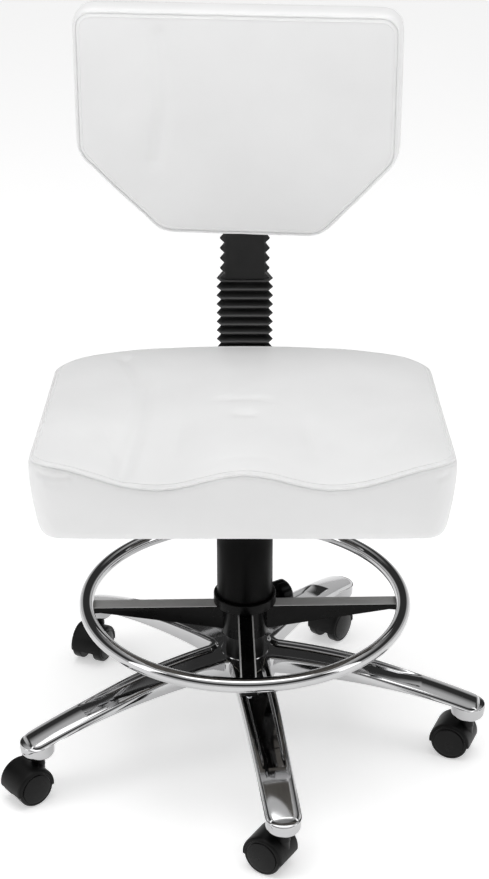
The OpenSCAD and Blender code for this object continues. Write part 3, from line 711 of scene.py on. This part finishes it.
def seatCushionPiece():
    s = seat
    rings = [seatRing(inset, lambda x, y: s["under"] + sunk)
             for inset, sunk in ((110, 9), (60, 9), (32, 9), (23, 1))]
    for share, inset in [(0.0, s["taper"]), (0.03, s["taper"] - 4), (0.10, s["taper"] - 6), (0.25, 8),
                         (0.45, 5), (0.65, 2.8), (0.82, 1.8), (0.93, 2.2), (1.0, 4.0)]:
        rings.append(seatRing(inset, lambda x, y: s["under"] + (seatSeamHeight(x, y) - s["under"]) * share))
    for inset in (8, 14, 22, 34, 50, 70, 95, 120, 150, 180, 198):
        rise = s["crown"] * (1 - math.exp(-(inset - 4) / s["crownReach"]))
        rings.append(seatRing(inset, lambda x, y: seatSeamHeight(x, y) + rise))
    cushion = ringShell("seatCushion", rings)
    seamPath = [Vector(p) for p in seatRing(4, seatSeamHeight)]

    def held(point):
        edge = abs(point[2] - seatSeamHeight(point[0], point[1]))
        half = s["width"] / 2
        out = min(half - abs(point[0]), point[1] - s["front"], s["back"] - point[1])
        if point[2] < s["under"] + 10:
            return 1.0
        return 1.0 if edge < 4 and out < 11 else 0.02

    evenMesh(cushion, s["voxel"] * mm)
    swell(cushion, s["pressure"], s["swellCap"] * mm, held)
    refine(cushion)
    smoothShade(cushion, 70)
    soften(cushion, s["hollows"])
    dressCushion(cushion, seamPath, "seat", [seatRing(10.5, lambda x, y: seatSeamHeight(x, y) + 2.5),
                                             seatRing(2, lambda x, y: seatSeamHeight(x, y) - 7)])
    finish(cushion, "seat", mats["white_vinyl"], ["seat_cushion"])


seam = {
    "grooveWidth": 2.6, "grooveDepth": 1.3, "welt": 1.7, "cord": 0.75, "step": 4, "fineStep": 2,
    "stitchGap": 4.4, "stitchLength": 3.2, "thread": 0.7, "lift": 0.25,
}


def dressCushion(cushion, seamPath, body, rowPaths):
    # a groove and a welt cord on the seam, a thin cord beside it, and the rows of stitches
    k = seam
    vinyl = mats["white_vinyl"]
    step = k["step"] * mm
    laidSeam = ontoSurface(cushion, seamPath)
    groovePath = densePath(laidSeam, k["fineStep"] * mm)
    pressGroove(cushion, groovePath, k["grooveWidth"] * mm, k["grooveDepth"] * mm)
    weltTree = sweptNodes("weltCord", k["welt"] * mm, 10, vinyl)
    welt = alongPath(cushion.name + "Welt", densePath(laidSeam, step), weltTree)
    smoothShade(welt, 80)
    finish(welt, body, vinyl)
    besideSeam = ontoSurface(cushion, densePath(rowPaths[0], step))
    rows = [alongPath(cushion.name + "Cord", besideSeam, sweptNodes("innerCord", k["cord"] * mm, 8, vinyl))]
    for number, row in enumerate(rowPaths):
        path = ontoSurface(cushion, densePath(row, step), k["lift"] * mm)
        threadTree = stitchNodes("threadRow", k["stitchGap"] * mm, k["stitchLength"] * mm,
                                 k["thread"] * mm, vinyl)
        rows.append(alongPath(cushion.name + "Thread" + str(number), path, threadTree))
    threads = joinPieces(cushion.name + "Threads", rows)
    smoothShade(threads, 80)
    finish(threads, body, vinyl)


def densePath(path, gap):
    # even points along a closed path
    closed = [Vector(p) for p in path] + [Vector(path[0])]
    lengths = np.array([0.0] + [(closed[i + 1] - closed[i]).length for i in range(len(path))]).cumsum()
    count = max(8, int(lengths[-1] / gap))
    spots = np.arange(count) * lengths[-1] / count
    table = np.array([tuple(p) for p in closed])
    return [Vector([float(np.interp(spot, lengths, table[:, k])) for k in range(3)]) for spot in spots]


def soften(cushion, hollows):
    # shallow hollows and short creases pressed into the cover
    for corners, width, depth in hollows:
        line = [Vector(a).lerp(Vector(b), k / 24) * mm
                for a, b in zip(corners, corners[1:]) for k in range(25)]
        pressGroove(cushion, ontoSurface(cushion, line), width * mm, depth * mm)


back = {
    "left": -217, "right": 204, "foot": 106, "low": 646, "hip": 752, "top": 946, "turn": -5, "hinge": 250,
    "hollows": [([(-112, 180, 915), (-104, 182, 830), (-118, 184, 750)], 12, 4.5)],
    "depth": 64, "radii": [42, 42, 38, 26, 26, 38], "crown": 7, "crownReach": 30, "swellCap": 6,
    "voxel": 5.5, "pressure": 3.0,
}


def backRing(inset, depth):
    b = back
    corners = [(-b["foot"], b["low"]), (b["foot"], b["low"]), (b["right"], b["hip"]),
               (b["right"], b["top"]), (b["left"], b["top"]), (b["left"], b["hip"])]
    turn = math.radians(b["turn"])
    ring = []
    for p in roundedOutline(corners, b["radii"], inset):
        x, y = p.x, -depth
        ring.append(((x * math.cos(turn) - y * math.sin(turn)) * mm,
                     (b["hinge"] + x * math.sin(turn) + y * math.cos(turn)) * mm, p.y * mm))
    return ring


def backCushionPiece():
    b = back
    front = b["depth"] - 8
    rings = [backRing(90, 5), backRing(40, 5), backRing(20, 5)]
    for depth, inset in [(0.5, 13), (0, 9), (1.5, 5), (6, 2.5), (16, 0.5), (28, 0), (40, 0.6), (50, 2),
                         (front, 4.5)]:
        rings.append(backRing(inset, depth))
    for inset in (9, 15, 24, 38, 56, 80, 105):
        rings.append(backRing(inset, front + b["crown"] * (1 - math.exp(-(inset - 4.5) / b["crownReach"]))))
    cushion = ringShell("backCushion", rings)
    seamPath = [Vector(p) for p in backRing(4.5, front)]
    turn = math.radians(b["turn"])

    def held(point):
        x, y = point[0], point[1] - b["hinge"]
        depth = x * math.sin(turn) - y * math.cos(turn)
        if depth < 8:
            return 1.0
        gap = min((Vector(point) * mm - p).length for p in seamPath[::3])
        return 1.0 if gap < 0.012 and abs(depth - front) < 4 else 0.02

    evenMesh(cushion, b["voxel"] * mm)
    swell(cushion, b["pressure"], b["swellCap"] * mm, held)
    refine(cushion)
    smoothShade(cushion, 70)
    soften(cushion, b["hollows"])
    dressCushion(cushion, seamPath, "backrest", [backRing(11, front + 2)])
    finish(cushion, "backrest", mats["white_vinyl"], ["back_cushion"])


print("padding the seat and the backrest")
seatCushionPiece()
backCushionPiece()


boots = {
    "barY": 262, "halfWidth": 38.5, "halfDepth": 23, "low": 426, "pitch": 12.8, "folds": 11, "fold": 6.5,
    "steps": 12, "keep": 0.645, "wall": 2,
    "upperLow": 568.5, "upperTop": 640, "upperHalf": 33.5, "upperDepth": 20, "panelHalf": 26.5,
    "upperFolds": 5, "upperFold": 6.5, "inner": 24,
}


def bootRing(halfX, halfY, z, centreY, shrink):
    # one level of a shallow six-sided sleeve whose side tips sit near its front, anticlockwise
    plan = [(halfX - 1, 2 - halfY * 0.5), (halfX, -halfY * 0.5), (halfX - 1, -2 - halfY * 0.5),
            (halfX - 5, 1 - halfY), (halfX - 7, -halfY)]
    rear = [(halfX - 12.5, halfY), (halfX - 10.5, halfY - 1), (halfX - 6.5, halfY * 0.4)]
    right = [(x - shrink, y * (1 - shrink / halfY)) for x, y in rear + plan]
    left = [(-x, y) for x, y in right[::-1]]
    return [(x * mm, (centreY + y) * mm, z * mm) for x, y in (right + left)[::-1]]


def openShell(name, outer, inner):
    # joins an outer stack of rings to an inner one, giving a sleeve open at both ends
    rings = outer + inner[::-1]
    count = len(outer[0])
    points = [p for ring in rings for p in ring]
    faces = []
    for i in range(len(rings)):
        for k in range(count):
            a, b = i * count + k, i * count + (k + 1) % count
            c, d = (i + 1) % len(rings) * count + (k + 1) % count, (i + 1) % len(rings) * count + k
            faces.append((a, b, c, d))
    return meshPiece(name, points, faces, 50)


def foldShape(part):
    # 0 at the crest, 1 in the valley, a zigzag just rounded at the crest
    away = 2 * min(part % 1.0, 1 - part % 1.0)
    return (math.sqrt(away * away + 0.01) - 0.1) / (math.sqrt(1.01) - 0.1)


def lowerBootPiece():
    b = boots
    total = b["folds"] * b["steps"]
    outer, inner = [], []
    for i in range(total + 1):
        part = i / b["steps"]
        z = b["low"] + part * b["pitch"]
        deep = b["fold"] * foldShape(part)
        outer.append(bootRing(b["halfWidth"], b["halfDepth"], z, b["barY"], deep))
        inner.append(bootRing(b["halfWidth"], b["halfDepth"], z, b["barY"], b["fold"] + b["wall"]))
    boot = openShell("ribbedBoot", outer, inner)
    # painted highlight weight per point: 1 on a fold crest, fading to 0 towards the valley, read by the
    # rubber material
    crestHighlight = boot.data.attributes.new("crestHighlight", "FLOAT", "POINT")
    for vertex, value in zip(boot.data.vertices, crestHighlight.data):
        part = (vertex.co.z / mm - b["low"]) / b["pitch"]
        value.value = max(0.0, 1 - foldShape(part) / 0.3)
    finish(boot, "back_upright", mats["black_rubber"], ["lower_boot"])
    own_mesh(boot)


def upperBootPiece():
    b = boots
    levels = b["upperFolds"] * 10
    outer, inner = [], []
    height = b["upperTop"] - b["upperLow"]
    for i in range(levels + 1):
        part = i / 10
        z = b["upperLow"] + height * i / levels
        side = b["upperHalf"] - b["upperFold"] * foldShape(part)
        trim = 4 * smoothStep(0.93, 1.0, i / levels)
        front, panel = b["upperDepth"] - trim, b["panelHalf"] - trim
        side -= trim
        rear = 27 - trim
        plan = [(rear, 0), (rear, front - 3), (panel, front - 0.6), (panel - 1.5, front),
                (1.5 - panel, front), (-panel, front - 0.6), (-rear, front - 3), (-rear, 0),
                (-side, 6 - front), (-side, 4 - front), (-panel, 0.6 - front), (1.5 - panel, -front),
                (panel - 1.5, -front), (panel, 0.6 - front),
                (side, 4 - front), (side, 6 - front)]
        outer.append([(x * mm, (b["barY"] + y) * mm, z * mm) for x, y in plan])
        hollow = [(min(b["inner"], max(-b["inner"], x)), y * 0.7) for x, y in plan]
        inner.append([(x * mm, (b["barY"] + y) * mm, z * mm) for x, y in hollow])
    boot = openShell("flatFrontBoot", outer, inner)
    smoothShade(boot, 28)
    finish(boot, "backrest", mats["black_rubber"], ["upper_boot"])


print("moulding the boots")
lowerBootPiece()
upperBootPiece()


footRing = {"centreRadius": 208.5, "tubeRadius": 9.5, "height": 212, "steps": 256, "sides": 40}


def ringNodes(radius, steps, sides, material):
    # Geometry Nodes: a round tube bent into a full circle
    tree = bpy.data.node_groups.new("bentTube", "GeometryNodeTree")
    tree.interface.new_socket("Geometry", in_out="INPUT", socket_type="NodeSocketGeometry")
    for label, value in (("Ring radius", radius), ("Tube radius", footRing["tubeRadius"] * mm)):
        socket = tree.interface.new_socket(label, in_out="INPUT", socket_type="NodeSocketFloat")
        socket.default_value = value
    tree.interface.new_socket("Geometry", in_out="OUTPUT", socket_type="NodeSocketGeometry")
    start, end = tree.nodes.new("NodeGroupInput"), tree.nodes.new("NodeGroupOutput")
    path = tree.nodes.new("GeometryNodeCurvePrimitiveCircle")
    path.inputs["Resolution"].default_value = steps
    section = tree.nodes.new("GeometryNodeCurvePrimitiveCircle")
    section.inputs["Resolution"].default_value = sides
    skin = tree.nodes.new("GeometryNodeCurveToMesh")
    real = tree.nodes.new("GeometryNodeRealizeInstances")
    paint = tree.nodes.new("GeometryNodeSetMaterial")
    paint.inputs["Material"].default_value = material
    tree.links.new(start.outputs["Ring radius"], path.inputs["Radius"])
    tree.links.new(start.outputs["Tube radius"], section.inputs["Radius"])
    tree.links.new(path.outputs["Curve"], skin.inputs["Curve"])
    tree.links.new(section.outputs["Curve"], skin.inputs["Profile Curve"])
    tree.links.new(skin.outputs["Mesh"], real.inputs["Geometry"])
    tree.links.new(real.outputs["Geometry"], paint.inputs["Geometry"])
    tree.links.new(paint.outputs["Geometry"], end.inputs["Geometry"])
    return tree


def footRingPiece():
    r = footRing
    ring = alongPath("chromeRing", [(0, 0, 0), (mm, 0, 0), (0, mm, 0)],
                     ringNodes(r["centreRadius"] * mm, r["steps"], r["sides"], mats["chrome"]))
    for vertex in ring.data.vertices:
        vertex.co.z += r["height"] * mm
    cleanMesh(ring, 0.000001)
    smoothShade(ring, 80)
    finish(ring, "ring", mats["chrome"], ["foot_ring"])


print("bending the foot ring")
footRingPiece()


casters = {
    "headings": [149, 158, 235, 248, 219], "trail": 18, "wheelRadius": 25, "wheelIn": 9.5,
    "wheelOut": 22.5, "cap": 24.2,
    "hoodHalf": 22.5, "hoodIn": 26, "hoodOut": 27.8, "hoodRound": 4.5, "hoodStart": -6, "hoodSweep": 192,
}


def casterMatrix(i):
    turn = math.radians(star["turn"] - 90 + 72 * i)
    stem = Vector((star["reach"] * math.cos(turn), star["reach"] * math.sin(turn), 0)) * mm
    return Matrix.Translation(stem) @ Matrix.Rotation(math.radians(casters["headings"][i]), 4, "Z")


def moved(piece, matrix):
    piece.data.transform(matrix)
    cleanMesh(piece)
    return piece


def hoodPiece(i):
    c = casters
    half, r = c["hoodHalf"], c["hoodRound"]
    inside, bend = c["hoodIn"], c["hoodOut"] - r
    section = ([(inside - 0.4, -half + 1.2), (inside - 3.0, -half + 0.4), (inside - 2.6, -half - 0.3)]
               + roundCorner(bend, -half + r, r, -62, 0, 7) + roundCorner(bend, half - r, r, 0, 62, 7)
               + [(inside - 2.6, half + 0.3), (inside - 3.0, half - 0.4), (inside - 0.4, half - 1.2)])
    steps, count = 60, len(section)
    points, faces = [], []
    for k in range(steps + 1):
        turn = math.radians(c["hoodStart"] + c["hoodSweep"] * k / steps)
        for radius, across in section:
            points.append(((c["trail"] + radius * math.cos(turn)) * mm, -across * mm,
                           (c["wheelRadius"] + radius * math.sin(turn)) * mm))
    for k in range(steps):
        for n in range(count):
            a, b = k * count + n, k * count + (n + 1) % count
            faces.append((a, b, b + count, a + count))
    faces += [tuple(range(count)), tuple(range(steps * count, (steps + 1) * count))]
    hood = meshPiece("casterHood" + str(i + 1), points, faces, 45)
    return moved(hood, casterMatrix(i))


def casterWheelPiece(i, side):
    c = casters
    radius = c["wheelRadius"]
    outside = c["wheelOut"]
    groove = [(radius - 4.0, outside - 0.7), (radius - 4.4, outside - 0.7), (radius - 4.8, outside + 0.1)]
    dome = [((radius - 5.2) * (1 - k / 8), outside + 0.25 + (c["cap"] - outside) * (1 - (1 - k / 8) ** 2))
            for k in range(8)]
    profile = ([(4.1, 1.6), (8, 1.6), (8, c["wheelIn"]), (radius - 1, c["wheelIn"])]
               + roundCorner(radius - 1.2, c["wheelIn"] + 1.2, 1.2, -80, 0, 4)
               + roundCorner(radius - 3.2, outside - 3.2, 3.2, 0, 84, 8) + groove + dome
               + [(0.05, c["cap"] + 0.25), (0.05, 21.4), (4.1, 21.4)])
    name = "casterWheel" + str(i + 1) + ("a" if side > 0 else "b")
    wheel = revolve(name, [(r * mm, z * mm) for r, z in profile], 72, (0, 0), 35)
    axle = Matrix.Translation((c["trail"] * mm, 0, radius * mm))
    upright = axle @ Matrix.Rotation(math.radians(90), 4, "X")
    if side < 0:
        upright = upright @ Matrix.Rotation(math.radians(180), 4, "X")
    return moved(wheel, casterMatrix(i) @ upright)


def casterPieces():
    for i in range(5):
        body = "caster_" + str(i + 1)
        core = roundedCopy(body + "_housing", 0.5, "casterFrame" + str(i + 1))
        hood = hoodPiece(i)
        smoothShade(core, 35)
        housing = joinPieces("casterHousing" + str(i + 1), [core, hood])
        finish(housing, body, mats["black_nylon"], [body + "_housing"])
        for side, letter in ((1, "a"), (-1, "b")):
            wheelBody = body + "_wheel_" + letter
            finish(casterWheelPiece(i, side), wheelBody,
                   mats["black_gloss_plastic"], [wheelBody])


def roundedCopy(nodeName, width, name, segments=2, sharpAngle=35):
    # a copy of the part's own mesh with its sharp edges eased
    node = frame["nodes"][nodeName]
    mesh = node.data.copy()
    mesh.name = name
    mesh.transform(node.matrix_world)
    copy = bpy.data.objects.new(name, mesh)
    bpy.context.scene.collection.objects.link(copy)
    work = bmesh.new()
    work.from_mesh(mesh)
    bmesh.ops.remove_doubles(work, verts=work.verts, dist=0.00001)
    bmesh.ops.dissolve_limit(work, angle_limit=math.radians(1.5), verts=work.verts, edges=work.edges)
    work.to_mesh(mesh)
    work.free()
    ease = copy.modifiers.new("easedEdges", "BEVEL")
    ease.width = width * mm
    ease.segments = segments
    ease.limit_method = "ANGLE"
    ease.angle_limit = math.radians(sharpAngle)
    ease.use_clamp_overlap = True
    ease.harden_normals = False
    flat = copy.modifiers.new("triangles", "TRIANGULATE")
    flat.quad_method = "BEAUTY"
    applyModifiers(copy)
    smoothShade(copy, 30)
    return copy


eased = {
    "ring_spider": ("ring", "black_enamel", 1.1), "ring_knob": ("ring_clamp", "black_nylon", 0.8),
    "height_knob": ("height_clamp", "black_nylon", 0.8), "depth_knob": ("depth_clamp", "black_nylon", 0.8),
    "lower_cover": ("ring", "black_gloss_plastic", 0.7),
    "upper_cover": ("seat", "black_gloss_plastic", 0.7),
    "back_bracket": ("backrest", "black_enamel", 0.6), "seat_mechanism": ("seat", "black_enamel", 0.6),
}


def easedParts():
    for nodeName, (body, slotName, width) in eased.items():
        words = nodeName.split("_")
        name = words[0] + "".join(word.capitalize() for word in words[1:]) + "Eased"
        special = {"ring_spider": "spoke_enamel_painted_reflection", "lower_cover": "cover_plastic",
                   "upper_cover": "cover_plastic"}
        material = mats[special.get(nodeName, slotName)]
        finish(roundedCopy(nodeName, width, name), body, material, [nodeName])


print("fitting the casters")
casterPieces()
print("easing the edges of the black parts")
easedParts()


def plainStage():
    floor = bpy.data.materials.new("studioFloor")
    floor.use_nodes = True
    floor.node_tree.nodes["Principled BSDF"].inputs["Base Color"].default_value = (0.93, 0.93, 0.93, 1)
    floor.node_tree.nodes["Principled BSDF"].inputs["Roughness"].default_value = 0.9
    floor.node_tree.nodes["Principled BSDF"].inputs["Emission Color"].default_value = (1, 1, 1, 1)
    floor.node_tree.nodes["Principled BSDF"].inputs["Emission Strength"].default_value = 0.45
    half = 9
    points = [(-half, -half, 0), (half, -half, 0), (half, half, 0), (-half, half, 0)]
    faces = [(0, 1, 2, 3)]
    mesh = bpy.data.meshes.new("studioFloorSheet")
    mesh.from_pydata(points, [], faces)
    sweep = bpy.data.objects.new("studioFloorSheet", mesh)
    sweep.data.materials.append(floor)
    bpy.context.scene.collection.objects.link(sweep)


def softLight(name, place, aim, size, power):
    data = bpy.data.lights.new(name, "AREA")
    data.shape = "RECTANGLE"
    data.size, data.size_y = size
    data.energy = power
    lamp = bpy.data.objects.new(name, data)
    lamp.location = place
    lamp.rotation_euler = (Vector(aim) - Vector(place)).to_track_quat("-Z", "Y").to_euler()
    bpy.context.scene.collection.objects.link(lamp)


def studioLight():
    world = bpy.data.worlds.new("studioAir")
    world.use_nodes = True
    nodes, link = world.node_tree.nodes, world.node_tree.links.new
    place = nodes.new("ShaderNodeTexCoord")
    height = nodes.new("ShaderNodeSeparateXYZ")
    band = nodes.new("ShaderNodeValToRGB")
    stops = ((0.0, 0.9), (0.2, 0.9), (0.34, 0.06), (0.6, 0.06), (0.8, 0.9), (1.0, 1.0))
    while len(band.color_ramp.elements) < len(stops):
        band.color_ramp.elements.new(0.5)
    for element, (spot, shade) in zip(band.color_ramp.elements, stops):
        element.position = spot
        element.color = (shade, shade, shade, 1)
    link(place.outputs["Generated"], height.inputs["Vector"])
    link(height.outputs["Z"], band.inputs["Fac"])
    link(band.outputs["Color"], nodes["Background"].inputs["Color"])
    nodes["Background"].inputs["Strength"].default_value = 0.8
    bpy.context.scene.world = world
    softLight("overheadSoftbox", (0, -0.2, 2.6), (0, 0, 0.3), (2.4, 1.6), 26)
    softLight("leftSoftbox", (-2.3, -0.9, 1.3), (0, 0, 0.4), (0.8, 2.0), 10)
    softLight("rightSoftbox", (2.3, -0.9, 1.3), (0, 0, 0.4), (0.8, 2.0), 9)
    bpy.context.scene.view_settings.view_transform = "Standard"


def viewerCamera():
    data = bpy.data.cameras.new("viewCamera")
    data.sensor_width = 36
    data.lens = 83.4
    data.clip_start, data.clip_end = 0.05, 50
    camera = bpy.data.objects.new("viewCamera", data)
    camera.location = (-0.0004, -2.3208, 1.5813)
    camera.rotation_euler = (math.radians(90 - 26.07), 0, 0)
    bpy.context.scene.collection.objects.link(camera)
    bpy.context.scene.camera = camera


plainStage()
studioLight()
viewerCamera()
